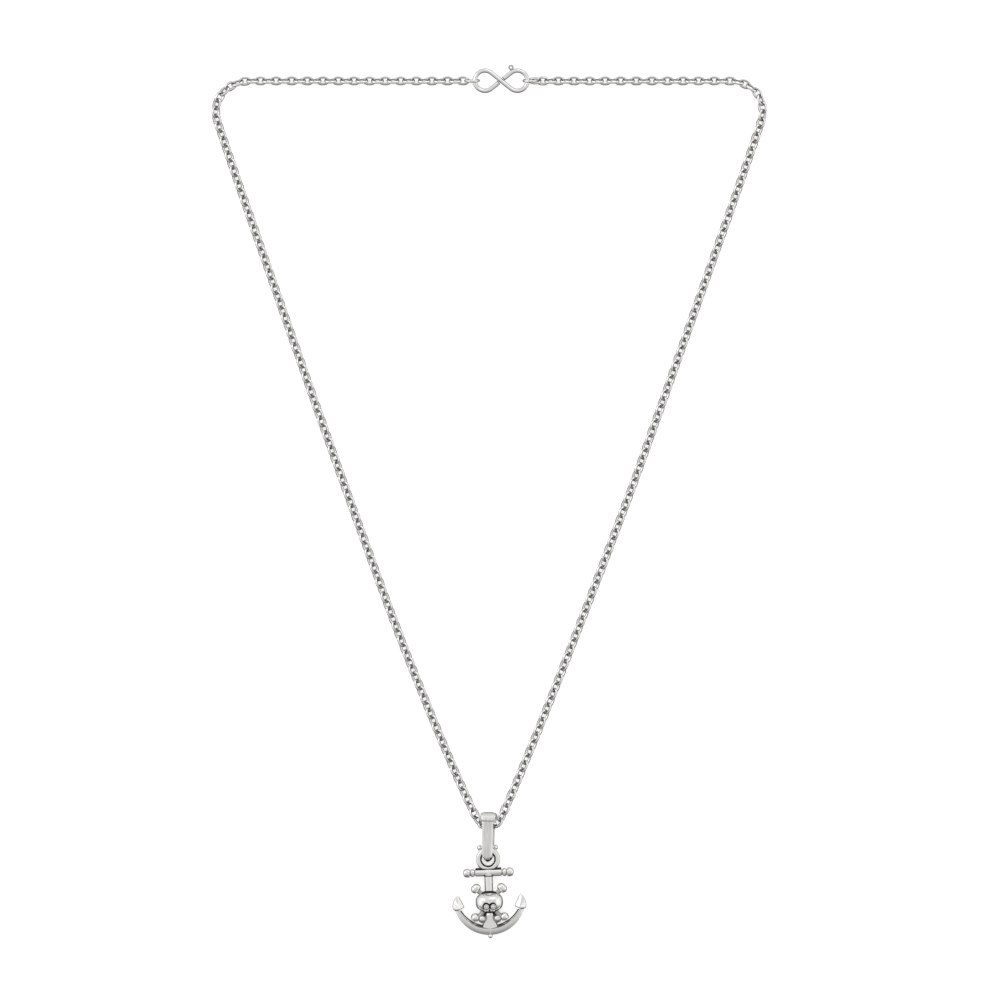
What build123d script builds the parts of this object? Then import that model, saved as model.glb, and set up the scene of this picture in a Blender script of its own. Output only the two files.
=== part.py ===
from build123d import *
from math import asin, cos, degrees, pi, radians, sin, sqrt, tan
import os

# A silver necklace that lies on its back on a flat surface, in millimetres.
# X runs to the right, Y from the anchor up to the hook, and Z up from the surface at Z = 0.
# It is laid out as a triangle: the hook in the middle of the top side, the anchor at the bottom.

# Air between pieces that touch loosely
play = 0.12

# Cable chain: the width over its links
chain_width = 1.95

# S-shaped wire hook
hook_x = 2.55
hook_y = 90.45
hook_wire = 0.95
hook_loop_radius = 2.18
hook_spread = 6.96
hook_end_gap = 0.1
tag_ring_radius = 0.6
tag_ring_hole = 0.2
tag_ring_thickness = 0.5
tag_ring_angle = 115.5
tag_ring_sink = 0.1

# Round jump rings between the hook and the chain, standing on edge
end_ring_wire = 0.55
end_ring_hole = 2.15
end_ring_play = 0.05

# Bail: a flat band bent into a loop, which is wider at its head than at its foot
bail_x = -0.28
bail_length = 10.75
bail_wall = 0.6
bail_width = 3.44
bail_lean = -1.5
bail_slant = 7.0
bail_head_play = 0.225
bail_foot_play = 0.2
chain_slack = 1.585

# The bail's outline from the front: shares of its length and of its half width
bail_outline = [
    (1.0, 0.70),
    (0.96, 0.94),
    (0.89, 0.93),
    (0.81, 0.80),
    (0.71, 0.735),
    (0.24, 0.71),
    (0.095, 0.55),
]

# Eye at the anchor's head, and the two beads on its shoulders
eye_shift = 0.08
eye_outer_radius = 2.6
eye_hole_radius = 1.355
eye_thickness = 1.2
eye_bevel = 0.2
eye_slack = 1.3
bead_radius = 0.58
bead_angle = 34.0
bead_sink = 0.2
anchor_lean = 1.8

# Stock: an eight-sided bar with a collar and a cap at each end
stock_radius = 0.86
stock_sink = 0.62
stock_bar_length = 5.6
stock_collar_width = 0.62
stock_groove_width = 0.32
stock_groove_depth = 0.24
stock_cap_length = 1.35
stock_cap_round = 0.35

# Shank and crown
shank_radius = 0.81
crown_height = 3.3
crown_half_width = 1.6
crown_inset = 0.04

# Arms: a crescent between two circles, with a ridge on the front and the back
arm_drop = 16.26
arm_outer_radius = 7.75
arm_inner_radius = 7.1
arm_width = 1.96
arm_ridge_inset = 0.65
arm_edge_half = 0.35
arm_ridge_half = 0.9
arm_tip_rise = 5.35

# Flukes: arrowheads on the ends of the arms
fluke_width = 2.62
fluke_height = 3.25
fluke_edge_half = 0.2
fluke_ridge_half = 0.8
fluke_inset = 0.21
fluke_foot_drop = 0.1

# The fluke's outline from the front, right side: shares of its width outwards and its height upwards
fluke_outline = [
    (0.22, 1.0),
    (0.47, 0.66),
    (0.56, 0.37),
    (0.50, 0.11),
    (0.27, 0.0),
]
fluke_barb = (-0.44, 0.25)

# Ball under the crown
ball_radius = 0.5
ball_drop = 0.28

# Skull on the front of the shank
skull_drop = 9.25
skull_half_width = 2.92
skull_half_height = 2.3
skull_half_depth = 2.2
skull_centre_rise = 0.85
skull_back = -0.2
jaw_width = 2.3
jaw_height = 1.5
jaw_depth = 2.0
jaw_hang = 0.25
jaw_round = 0.35
tooth_count = 5
tooth_groove = 0.12
tooth_height = 0.5
nose_width = 0.62
nose_height = 0.6
nose_drop = 1.55
nose_depth = 1.35

# Eye sockets and the stones in them
socket_radius = 0.68
socket_spacing = 1.5
socket_drop = 0.85
socket_depth = 1.33
stone_floor_play = 0.06
stone_side_play = 0.12
stone_table_share = 0.58
stone_crown_height = 0.2
stone_girdle_height = 0.06
stone_pavilion_height = 0.42
stone_sides = 8

# Crossed bones behind the skull
bone_reach = 4.3
bone_angle = 45.8
bone_radius = 0.42
bone_rise = 0.75
knob_radius = 0.62
knob_spread = 0.5

# Levels at which the pieces lie
end_ring_outer = end_ring_hole + 2 * end_ring_wire
ring_level = end_ring_outer / 2
flat_level = chain_width / 2
bail_level = bail_wall + play + chain_width / 2
eye_level = bail_wall + play + eye_thickness / 2

# End rings: each holds the outer side of the hook's loop
end_ring_offset = hook_spread / 2 + hook_loop_radius + end_ring_hole / 2 - hook_wire / 2 - end_ring_play
left_ring_x = hook_x - end_ring_offset
right_ring_x = hook_x + end_ring_offset
chain_end_reach = end_ring_outer / 2 + play

# The chain's route, from the left end ring to the right one
chain_low_y = -69.91
chain_dip = 0.09
chain_rise_left = 1.98
chain_rise_right = 2.11
chain_corner_rise = 0.02
chain_route = [
    (left_ring_x - chain_end_reach, hook_y, ring_level),
    (-17.5, hook_y, flat_level),
    (-53.94, hook_y + chain_corner_rise, flat_level),
    (-57.92, 87.91, flat_level),
    (-59.17, 83.72, flat_level),
    (-19.74, -28.35, flat_level),
    (-10.06, -52.01, flat_level),
    (-2.74, chain_low_y + chain_rise_left, bail_level - chain_dip),
    (-1.34, chain_low_y, bail_level),
    (1.24, chain_low_y, bail_level),
    (2.92, chain_low_y + chain_rise_right, bail_level - chain_dip),
    (12.85, -43.41, flat_level),
    (28.66, -2.32, flat_level),
    (59.17, 83.72, flat_level),
    (58.02, 88.12, flat_level),
    (53.94, hook_y + chain_corner_rise, flat_level),
    (22.5, hook_y, flat_level),
    (right_ring_x + chain_end_reach, hook_y, ring_level),
]

# Share of the shorter run that an arc of the chain's route takes up
arc_share = 0.45

# Where the bail and the eye sit along Y
bail_top = chain_low_y + chain_width / 2 + chain_slack + bail_wall
bail_bottom = bail_top - bail_length
eye_x = bail_x + eye_shift
eye_y = bail_bottom + bail_wall + eye_slack - eye_hole_radius

# How far below the eye's centre the stock lies, and the arms' ridge where the shank ends
stock_drop = eye_outer_radius + stock_radius - stock_sink
ridge_drop = arm_drop - arm_width + arm_ridge_inset

# Heights inside the skull, over the middle of the shank
skull_front = skull_centre_rise + skull_half_depth
socket_floor = skull_front - socket_depth
nose_floor = skull_front - nose_depth
stone_girdle_radius = socket_radius - stone_side_play


def route_radii(points):
    """Return the arc radius at each inner point of a route."""
    radii = []
    for before, corner, after in zip(points, points[1:], points[2:]):
        arriving = Vector(*corner) - Vector(*before)
        leaving = Vector(*after) - Vector(*corner)
        turn = radians(arriving.get_angle(leaving))
        radii.append(arc_share * min(arriving.length, leaving.length) / tan(turn / 2))
    return radii


def make_chain():
    """Make the chain as one round tube along its route."""
    radii = route_radii(chain_route)
    path = FilletPolyline(*chain_route, radius=radii)
    section = Plane(origin=path @ 0, z_dir=path % 0) * Circle(chain_width / 2)
    tube = sweep(section, path=path)
    section_area = pi * chain_width**2 / 4
    print("chain radii", [round(radius, 2) for radius in radii])
    print("chain length", round(path.length, 2))
    print("tube volume over section times length", round(tube.volume / (section_area * path.length), 5))
    return tube


def revolved(profile, axis_origin=(0, 0, 0)):
    """Turn a profile of (radius, height) points about an upright axis."""
    outline = [(radius, 0, height) for radius, height in profile]
    face = Face(Wire.make_polygon(outline, close=True))
    return Pos(*axis_origin) * revolve(face, Axis.Z)


def bevelled_ring(outer_radius, hole_radius, thickness, bevel):
    """Make a flat ring whose four edges are bevelled."""
    half = thickness / 2
    profile = [
        (hole_radius + bevel, half),
        (outer_radius - bevel, half),
        (outer_radius, half - bevel),
        (outer_radius, bevel - half),
        (outer_radius - bevel, -half),
        (hole_radius + bevel, -half),
        (hole_radius, bevel - half),
        (hole_radius, half - bevel),
    ]
    return revolved(profile)


def make_hook():
    """Make the S-shaped hook: two loops, the strand between them, and two cut ends beside it."""
    half_spread = hook_spread / 2
    slope = asin(hook_loop_radius / half_spread)
    reach = sqrt(half_spread**2 - hook_loop_radius**2)
    end_reach = (hook_wire / 2 * (1 + cos(2 * slope)) + hook_end_gap) / sin(2 * slope)
    side = Vector(cos(slope), sin(slope))
    other_side = Vector(cos(slope), -sin(slope))
    start_angle = 90 - degrees(slope)
    arc_size = 360 - 2 * start_angle
    path = Wire(
        [
            Edge.make_line(side * -end_reach, side * -reach),
            CenterArc((-half_spread, 0), hook_loop_radius, -start_angle, -arc_size).edge(),
            Edge.make_line(other_side * -reach, other_side * reach),
            CenterArc((half_spread, 0), hook_loop_radius, start_angle - 180, arc_size).edge(),
            Edge.make_line(side * reach, side * end_reach),
        ]
    )
    section = Plane(origin=path @ 0, z_dir=path % 0) * Circle(hook_wire / 2)
    wire = sweep(section, path=path)
    tag_reach = hook_loop_radius + hook_wire / 2 + tag_ring_radius - tag_ring_sink
    tag_x = half_spread + tag_reach * cos(radians(tag_ring_angle))
    tag_y = tag_reach * sin(radians(tag_ring_angle))
    tag_bevel = (tag_ring_radius - tag_ring_hole) / 4
    tag_ring = bevelled_ring(tag_ring_radius, tag_ring_hole, tag_ring_thickness, tag_bevel)
    return Pos(hook_x, hook_y, ring_level) * (wire + Pos(tag_x, tag_y, 0) * tag_ring)


def make_end_ring(ring_x):
    """Make one jump ring, standing on edge in line with the chain."""
    ring = Torus((end_ring_hole + end_ring_wire) / 2, end_ring_wire / 2)
    return Pos(ring_x, hook_y, ring_level) * Rot(90, 0, 0) * ring


def make_bail():
    """Make the bail: a loop seen from the side, cut aslant to its outline seen from the front."""
    head_inside = chain_width / 2 + bail_head_play
    foot_inside = eye_thickness / 2 + bail_foot_play
    head = (bail_length - head_inside - bail_wall, head_inside + bail_wall)
    foot = (foot_inside + bail_wall, foot_inside + bail_wall)

    def loop_face(wall):
        head_circle = Pos(*head) * Circle(head_inside + wall)
        foot_circle = Pos(*foot) * Circle(foot_inside + wall)
        return make_hull(head_circle.edges() + foot_circle.edges())

    side_view = Plane.YZ * (loop_face(bail_wall) - loop_face(0))
    band = extrude(side_view, bail_width, both=True)
    right = [(width * bail_width / 2, height * bail_length) for height, width in bail_outline]
    left = [(-x, y) for x, y in reversed(right)]
    front_view = Face(Wire.make_polygon(right + [(0, 0)] + left, close=True))
    slant = radians(bail_slant)
    depth = 2 * (head_inside + bail_wall)
    prism = extrude(front_view, depth / cos(slant), dir=(-sin(slant), 0, cos(slant)))
    prism = Pos(depth * tan(slant), 0, 0) * prism
    return Pos(bail_x, bail_bottom, 0) * Rot(0, 0, bail_lean) * (band & prism)


def make_eye():
    """Make the anchor's eye with the two beads on its shoulders."""
    eye = bevelled_ring(eye_outer_radius, eye_hole_radius, eye_thickness, eye_bevel)
    bead_reach = eye_outer_radius + bead_radius - bead_sink
    for angle in (90 - bead_angle, 90 + bead_angle):
        place = Pos(bead_reach * cos(radians(angle)), bead_reach * sin(radians(angle)), 0)
        eye += place * Sphere(bead_radius)
    return eye


def make_stock():
    """Make the stock across the shank, with a collar and a rounded cap at each end."""
    groove_radius = stock_radius - stock_groove_depth
    bar_end = stock_bar_length / 2
    collar_start = bar_end + stock_groove_width
    collar_end = collar_start + stock_collar_width
    cap_start = collar_end + stock_groove_width
    cap_end = cap_start + stock_cap_length
    profile = [
        (0, -cap_end),
        (stock_radius - stock_cap_round, -cap_end),
        (stock_radius, stock_cap_round - cap_end),
        (stock_radius, -cap_start),
        (groove_radius, -cap_start),
        (groove_radius, -collar_end),
        (stock_radius, -collar_end),
        (stock_radius, -collar_start),
        (groove_radius, -collar_start),
        (groove_radius, collar_start),
        (stock_radius, collar_start),
        (stock_radius, collar_end),
        (groove_radius, collar_end),
        (groove_radius, cap_start),
        (stock_radius, cap_start),
        (stock_radius, cap_end - stock_cap_round),
        (stock_radius - stock_cap_round, cap_end),
        (0, cap_end),
    ]
    turned = Rot(0, 90, 0) * revolved(profile)
    bar = extrude(Plane.YZ * RegularPolygon(stock_radius, 8), bar_end, both=True)
    return Pos(0, -stock_drop, 0) * (turned + bar)


def make_shank():
    """Make the eight-sided shank, from the stock down into the arms."""
    section = Plane.XZ * RegularPolygon(shank_radius, 8)
    return Pos(0, -stock_drop, 0) * extrude(section, ridge_drop - stock_drop)


def make_crown():
    """Make the crown: the shank spreads out to a ridged foot above the arms."""

    def section(half_width, half_depth, drop):
        corners = [(half_width, 0), (0, half_depth), (-half_width, 0), (0, -half_depth)]
        outline = [(x, -drop, z) for x, z in corners]
        return Face(Wire.make_polygon(outline, close=True))

    head = section(shank_radius, shank_radius, ridge_drop - crown_height)
    base = section(crown_half_width, arm_ridge_half - crown_inset, ridge_drop)
    return loft([head, base], ruled=True)


def make_arms():
    """Make both arms as one crescent, ridged on its front and its back."""
    outer_centre = arm_outer_radius - arm_drop
    inner_centre = arm_inner_radius - arm_drop + arm_width
    outer_slope = (arm_ridge_half - arm_edge_half) / (arm_width - arm_ridge_inset)
    inner_slope = (arm_ridge_half - arm_edge_half) / arm_ridge_inset
    lens_half = arm_edge_half + arm_outer_radius * outer_slope
    lens = revolved(
        [
            (0, -lens_half),
            (arm_outer_radius, -arm_edge_half),
            (arm_outer_radius, arm_edge_half),
            (0, lens_half),
        ],
        (0, outer_centre, 0),
    )
    spool_radius = arm_inner_radius + (lens_half - arm_edge_half) / inner_slope
    spool = revolved(
        [
            (0, -lens_half),
            (spool_radius, -lens_half),
            (arm_inner_radius, -arm_edge_half),
            (arm_inner_radius, arm_edge_half),
            (spool_radius, lens_half),
            (0, lens_half),
        ],
        (0, inner_centre, 0),
    )
    crescent = lens - spool
    above = Box(
        3 * arm_outer_radius,
        2 * arm_outer_radius,
        3 * lens_half,
        align=(Align.CENTER, Align.MIN, Align.CENTER),
    )
    return crescent - Pos(0, arm_tip_rise - arm_drop, 0) * above


def arm_tip_x():
    """Return how far the middle of an arm's end lies from the shank."""
    outer = sqrt(arm_outer_radius**2 - (arm_tip_rise - arm_outer_radius) ** 2)
    inner = sqrt(arm_inner_radius**2 - (arm_tip_rise - arm_width - arm_inner_radius) ** 2)
    return (outer + inner) / 2


def make_fluke(side):
    """Make one fluke: a ridged arrowhead; side is 1 on the right and -1 on the left."""
    foot_x = arm_tip_x() - fluke_inset
    foot_y = arm_tip_rise - arm_drop - fluke_foot_drop
    outer = [(side * (foot_x + x * fluke_width), foot_y + y * fluke_height) for x, y in fluke_outline]
    barb = (side * (foot_x + fluke_barb[0] * fluke_width), foot_y + fluke_barb[1] * fluke_height)
    heel = outer[-1]
    foot = ((heel[0] + barb[0]) / 2, (heel[1] + barb[1]) / 2)
    faces = []
    for front in (1, -1):
        edge = front * fluke_edge_half
        ridge = (*foot, front * fluke_ridge_half)
        rim = [(*point, edge) for point in outer]
        for start, end in zip(rim, rim[1:]):
            faces.append(Face(Wire.make_polygon([start, end, ridge], close=True)))
        faces.append(Face(Wire.make_polygon([rim[0], ridge, (*barb, edge)], close=True)))
    walls = list(zip(outer, outer[1:])) + [(barb, outer[0])]
    for start, end in walls:
        corners = [
            (*start, -fluke_edge_half),
            (*end, -fluke_edge_half),
            (*end, fluke_edge_half),
            (*start, fluke_edge_half),
        ]
        faces.append(Face(Wire.make_polygon(corners, close=True)))
    sole = [
        (*heel, -fluke_edge_half),
        (*heel, fluke_edge_half),
        (*foot, fluke_ridge_half),
        (*barb, fluke_edge_half),
        (*barb, -fluke_edge_half),
        (*foot, -fluke_ridge_half),
    ]
    faces.append(Face(Wire.make_polygon(sole, close=True)))
    return Solid(Shell(faces))


def make_bones():
    """Make the two crossed bones, each a shaft with two knobs at either end."""
    bones = []
    for angle in (bone_angle, 180 - bone_angle):
        shaft = Rot(0, 90, 0) * Cylinder(bone_radius, 2 * bone_reach)
        knobs = [
            Pos(end * bone_reach, spread * knob_spread, 0) * Sphere(knob_radius)
            for end in (-1, 1)
            for spread in (-1, 1)
        ]
        bones.append(Pos(0, -skull_drop, bone_rise) * Rot(0, 0, angle) * (shaft + knobs))
    return bones[0] + bones[1]


def socket_places():
    """Return the centres of the two eye sockets."""
    return [(side * socket_spacing / 2, -skull_drop - socket_drop) for side in (-1, 1)]


def make_skull():
    """Make the skull: a domed cranium with sockets and a nose, over a small toothed jaw."""
    cranium = scale(Sphere(1), by=(skull_half_width, skull_half_height, skull_half_depth))
    cranium = Pos(0, -skull_drop, skull_centre_rise) * cranium
    behind = Box(
        3 * skull_half_width,
        3 * skull_half_height,
        2 * skull_half_depth,
        align=(Align.CENTER, Align.CENTER, Align.MAX),
    )
    cranium -= Pos(0, -skull_drop, skull_back) * behind
    jaw = Box(jaw_width, jaw_height, jaw_depth, align=(Align.CENTER, Align.CENTER, Align.MIN))
    jaw = fillet(jaw.edges().filter_by(Axis.Z), jaw_round)
    jaw_y = jaw_height / 2 - jaw_hang - skull_half_height - skull_drop
    tooth_pitch = jaw_width / (tooth_count + 1)
    groove = Box(tooth_groove, tooth_height, tooth_groove)
    for place in range(tooth_count):
        groove_x = (place - (tooth_count - 1) / 2) * tooth_pitch
        jaw -= Pos(groove_x, (tooth_height - jaw_height) / 2, jaw_depth) * groove
    skull = cranium + Pos(0, jaw_y, 0) * jaw
    for socket_x, socket_y in socket_places():
        socket = extrude(Circle(socket_radius), socket_depth)
        skull -= Pos(socket_x, socket_y, socket_floor) * socket
    nose_top = -skull_drop - nose_drop + nose_height / 2
    nose = Face(
        Wire.make_polygon(
            [
                (0, nose_top, nose_floor),
                (nose_width / 2, nose_top - nose_height, nose_floor),
                (-nose_width / 2, nose_top - nose_height, nose_floor),
            ],
            close=True,
        )
    )
    return skull - extrude(nose, nose_depth, dir=(0, 0, 1))


def make_stone():
    """Make one cut stone, its point down: a flat table, eight crown facets, a girdle and a point."""

    def ring_face(radius, height):
        return Pos(0, 0, height) * RegularPolygon(radius, stone_sides)

    girdle_base = stone_pavilion_height
    girdle_top = girdle_base + stone_girdle_height
    table = girdle_top + stone_crown_height
    table_face = ring_face(stone_table_share * stone_girdle_radius, table)
    crown = loft([ring_face(stone_girdle_radius, girdle_top), table_face], ruled=True)
    girdle = extrude(ring_face(stone_girdle_radius, girdle_base), stone_girdle_height)
    pavilion = loft([Vertex(0, 0, 0), ring_face(stone_girdle_radius, girdle_base)], ruled=True)
    return crown + girdle + pavilion


def anchor_place():
    """Return the place of the anchor, whose eye lies on the bail and whose arms lie on the surface."""
    tilt = degrees(asin((eye_level - arm_ridge_half) / ridge_drop))
    return Pos(eye_x, eye_y, eye_level) * Rot(0, 0, anchor_lean) * Rot(tilt, 0, 0)


def make_anchor():
    """Make the anchor as one casting."""
    ball = Pos(0, -arm_drop - ball_drop, 0) * Sphere(ball_radius)
    anchor = make_shank() + make_crown() + make_arms() + make_fluke(1) + make_fluke(-1)
    anchor = anchor + ball + make_stock() + make_eye()
    return anchor_place() * (anchor + make_bones() + make_skull())


def make_eye_stones():
    """Make the two eye stones, left and right, a little clear of the floors of their sockets."""
    stone = make_stone()
    return [
        anchor_place() * Pos(socket_x, socket_y, socket_floor + stone_floor_play) * stone
        for socket_x, socket_y in socket_places()
    ]


stones = make_eye_stones()
nodes = {
    "chain": make_chain(),
    "end_ring_left": make_end_ring(left_ring_x),
    "end_ring_right": make_end_ring(right_ring_x),
    "clasp_hook": make_hook(),
    "bail": make_bail(),
    "anchor": make_anchor(),
    "eye_stone_left": stones[0],
    "eye_stone_right": stones[1],
}

os.makedirs("parts", exist_ok=True)
for name, solid in nodes.items():
    export_step(solid, f"parts/{name}.step")
    box = solid.bounding_box()
    print(name, len(solid.solids()), round(solid.volume, 2), box.min, box.max)
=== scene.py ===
import random
from bisect import bisect_right
from math import asin, atan2, copysign, cos, hypot, pi, radians, sin, sqrt, tan
from types import SimpleNamespace

import bmesh
import bpy
from bpy.props import FloatProperty, FloatVectorProperty, IntProperty, PointerProperty
from mathutils import Matrix, Vector


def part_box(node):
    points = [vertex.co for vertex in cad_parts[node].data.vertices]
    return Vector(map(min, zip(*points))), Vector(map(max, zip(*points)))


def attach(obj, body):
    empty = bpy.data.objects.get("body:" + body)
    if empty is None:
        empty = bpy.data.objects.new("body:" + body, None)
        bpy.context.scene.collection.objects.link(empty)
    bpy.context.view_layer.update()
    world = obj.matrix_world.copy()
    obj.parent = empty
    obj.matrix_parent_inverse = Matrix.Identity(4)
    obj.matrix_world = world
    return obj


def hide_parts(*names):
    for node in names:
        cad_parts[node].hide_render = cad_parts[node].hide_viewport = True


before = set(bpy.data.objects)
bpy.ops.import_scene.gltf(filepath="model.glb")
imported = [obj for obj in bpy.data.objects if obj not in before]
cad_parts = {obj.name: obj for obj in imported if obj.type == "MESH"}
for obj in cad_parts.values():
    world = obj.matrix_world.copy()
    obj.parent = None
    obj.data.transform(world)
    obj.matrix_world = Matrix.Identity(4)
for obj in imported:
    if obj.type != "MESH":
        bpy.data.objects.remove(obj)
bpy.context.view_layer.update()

bl_info = {
    "name": "Silver anchor necklace",
    "version": (1, 0, 0),
    "blender": (4, 5, 0),
    "location": "3D View > Sidebar > Necklace",
    "description": "Makes a polished silver necklace with an anchor pendant, and the table that it lies on",
    "category": "Add Mesh",
}

# The pieces are modelled in millimetres and brought to metres when they are finished
MM = 0.001
MERGE = 0.0005
CLEAR = 0.005
BODY = "root"

# The finishes, named for what they are and how they were made
CAST = "cast_sterling_silver_polished"
WIRE = "drawn_silver_wire_rhodium_plated"
STRIP = "rolled_silver_strip_buffed"
BLACK = "painted_shade_and_oxidised_silver"
GREY = "grey_silver_painted_shade"
GEM = "cubic_zirconia_cut"
SHEET = "matt_white_acrylic_sheet"

# The chain's route in millimetres, from inside the left end ring to inside the right one. Where it
# runs below the links' own height, they lie on the table
ON_TABLE = 0.4
IN_BAIL = 1.695
BESIDE_BAIL = 1.605
CHAIN_ROUTE = [
    (-4.83, 90.45, 1.6), (-11.5, 90.45, ON_TABLE), (-49.3, 90.46, ON_TABLE), (-53.94, 90.47, ON_TABLE),
    (-57.92, 87.91, ON_TABLE), (-59.17, 83.72, ON_TABLE), (-57.73, 79.57, ON_TABLE),
    (-54.95, 71.24, ON_TABLE), (-45.93, 45.4, ON_TABLE), (-36.91, 19.6, ON_TABLE),
    (-27.66, -6.2, ON_TABLE), (-19.6, -28.35, ON_TABLE), (-10.06, -52.01, ON_TABLE),
    (-3.0, -67.93, BESIDE_BAIL), (-1.34, -69.91, IN_BAIL), (1.24, -69.91, IN_BAIL),
    (2.84, -67.8, BESIDE_BAIL), (12.95, -43.41, ON_TABLE), (28.82, -2.32, ON_TABLE),
    (36.65, 19.6, ON_TABLE), (45.78, 45.4, ON_TABLE), (54.91, 71.24, ON_TABLE), (57.75, 79.57, ON_TABLE),
    (59.17, 83.72, ON_TABLE), (58.02, 88.12, ON_TABLE), (53.94, 90.47, ON_TABLE), (49.3, 90.46, ON_TABLE),
    (16.5, 90.45, ON_TABLE), (9.02, 90.45, 1.2),
]

# How far every other link is rolled about the chain's line: distance along it in millimetres, and
# degrees. The links between them are rolled on by the chain's twist
CHAIN_ROLLS = [
    (0, 2), (46, 2), (54, -22), (60, -30), (208, -30), (220, -10), (230, -20), (238, -30), (380, -30),
    (388, -20), (395, 2), (436, 2), (442, -18),
]

# The front of the bail: shares of its length and of its half width
BAIL_OUTLINE = [
    (0.0, 0.08), (0.012, 0.21), (0.045, 0.39), (0.095, 0.55), (0.15, 0.63), (0.24, 0.67), (0.71, 0.685),
    (0.81, 0.72), (0.89, 0.92), (0.94, 0.96), (0.98, 0.86), (1.0, 0.66),
]

# A collar and an end cap of the stock: shares of their radius and of their length
COLLAR_OUTLINE = [(0.93, 0.0), (1.0, 0.3), (1.0, 0.7), (0.93, 1.0)]
CAP_OUTLINE = [
    (0.92, 0.0), (0.98, 0.15), (1.0, 0.35), (0.95, 0.6), (0.83, 0.8), (0.62, 0.93), (0.35, 1.0), (0.0, 1.0)
]

# A fluke's front, right side: shares of its width outwards and of its height upwards, and the places
# of its tip and its foot in that list
FLUKE_OUTLINE = [
    (0.0, 1.0), (0.22, 0.98), (0.47, 0.66), (0.56, 0.37), (0.50, 0.11), (0.27, 0.0), (-0.085, 0.125),
    (-0.44, 0.25),
]
FLUKE_TIP = 1
FLUKE_FOOT = 6

# Light from the studio's walls on its front, its back and its sides: share of the way from straight
# below to straight above, and strength
FRONT_LIGHT = [
    (0.0, 0.01), (0.15, 0.05), (0.3, 0.14), (0.5, 0.2), (0.67, 0.24), (0.78, 0.36), (0.854, 0.56),
    (0.933, 0.66), (1.0, 0.74),
]
BACK_LIGHT = [
    (0.0, 0.02), (0.05, 0.1), (0.12, 0.38), (0.3, 0.68), (0.67, 0.8), (0.79, 0.9), (0.87, 0.78), (1.0, 0.74)
]
SIDE_LIGHT = [
    (0.0, 0.02), (0.09, 0.08), (0.19, 0.36), (0.34, 0.74), (0.5, 0.95), (0.66, 1.12), (0.8, 1.08),
    (0.88, 0.68), (1.0, 0.74),
]

# The soft lamps: name, place and width in metres, and share of the lamps' strength
LAMPS = [("lamp_left", (-0.7, 0.35, 0.75), 0.5, 1.0), ("lamp_back", (0.3, 0.9, 0.8), 0.6, 0.8)]

# Lesser sizes that go with the groups of sizes below, lengths in millimetres: roundings, depths, how
# deep one form sits in another, and how far the black and the grey parts of painted shade reach. A share
# is a part of another size, and a facing says how squarely a face has to look one way to be painted
# black or grey as shade
DETAILS = {
    "necklace_chain": {"calm_share": 0.7, "held_links": 6, "inside_facing": 0.6, "seed": 7},
    "necklace_rings": {"seam_turn": radians(160)},
    "necklace_hook": {"end_round": 0.16, "end_dark": 0.3, "tag_sink": 0.1},
    "necklace_bail": {
        "face_bevel": 0.46, "bevel_depth": 0.24, "inner_bevel": 0.1, "crease_drop": -0.05,
        "crease_half": 0.15, "crease_share": 0.8, "crease_depth": 0.1, "foot_dark": 1.0, "foot_facing": 0.8,
    },
    "necklace_anchor": {
        "eye_round": 0.45, "eye_chamfer": 0.38, "bead_sink": 0.1, "stock_sink": 0.62, "groove_width": 0.32,
        "groove_depth": 0.24, "cap_share": 1.12, "bar_facing": 0.8, "corner_length": 5.5,
        "corner_width": 0.19, "corner_reach": 2.7, "corner_facing": 0.3, "wall_lean": 0.22,
        "wall_facing": 0.9, "crown_depth": 0.86, "arm_inset": 0.65, "arm_edge": 0.35,
        "arm_sweep": radians(74), "fluke_round": 0.26, "fluke_edge": 0.32, "fluke_ridge": 1.2,
        "fluke_inset": 0.21, "fluke_drop": 0.1, "fluke_facing": 0.68, "ball_drop": 0.275,
        "bone_rise": 0.7, "knob_spread": 0.22,
        "foot_across": 2.38, "foot_below": 3.4, "foot_spread": 0.76,
        "edge_round": 0.05,
    },
    "necklace_skull": {
        "back": -0.2, "jaw_depth": 2.35, "jaw_round": 0.2, "tooth_groove": 0.12,
        "tooth_height": 0.5, "rim_radius": 0.97, "rim_height": 0.55, "rim_share": 0.25,
        "socket_depth": 1.33, "recess_width_share": 0.84, "recess_rim": 0.42, "recess_depth_share": 0.45,
        "web_half": 2.65, "web_half_height": 1.7, "web_depth": 0.45, "web_rise": 0.15, "nose_drop": 1.6,
        "nose_depth": 1.35,
    },
}


def length(name, millimetres, description):
    """Return a property for a size given in millimetres."""
    return FloatProperty(
        name=name, description=description, default=millimetres * MM, unit="LENGTH", precision=5
    )


def angle(name, size, description):
    """Return a property for an angle given in degrees."""
    return FloatProperty(name=name, description=description, default=radians(size), unit="ROTATION")


def colour(name, shares, description):
    """Return a property for an sRGB colour."""
    return FloatVectorProperty(name=name, description=description, default=shares, subtype="COLOR_GAMMA")


class ChainSizes(bpy.types.PropertyGroup):
    """Sizes of the cable chain."""

    wire: length("Wire", 0.56, "Thickness of a link's wire")
    width: length("Width", 2.05, "Width of a link over its wire")
    pitch: length("Pitch", 1.677, "Distance from one link to the next")
    play: length("Play", 0.03, "Air between two links that are pulled apart")
    wire_sides: IntProperty(name="Wire sides", description="Sides of a link's wire", default=6, min=5)
    link_sides: IntProperty(name="Link sides", description="Sides of a link's outline", default=14, min=10)
    fullness: FloatProperty(name="Fullness", description="2 is an ellipse, more is fuller", default=2.4)
    # The grey painted shade at a link's ends reaches over this width
    shaded_end_width: length("Worn width", 0.75, "Width of the grey part at a link's ends")
    twist: angle("Twist", 60.0, "Angle between one link and the next")
    unrest: angle("Unrest", 3.0, "How far the links roll to and fro by chance")


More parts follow.
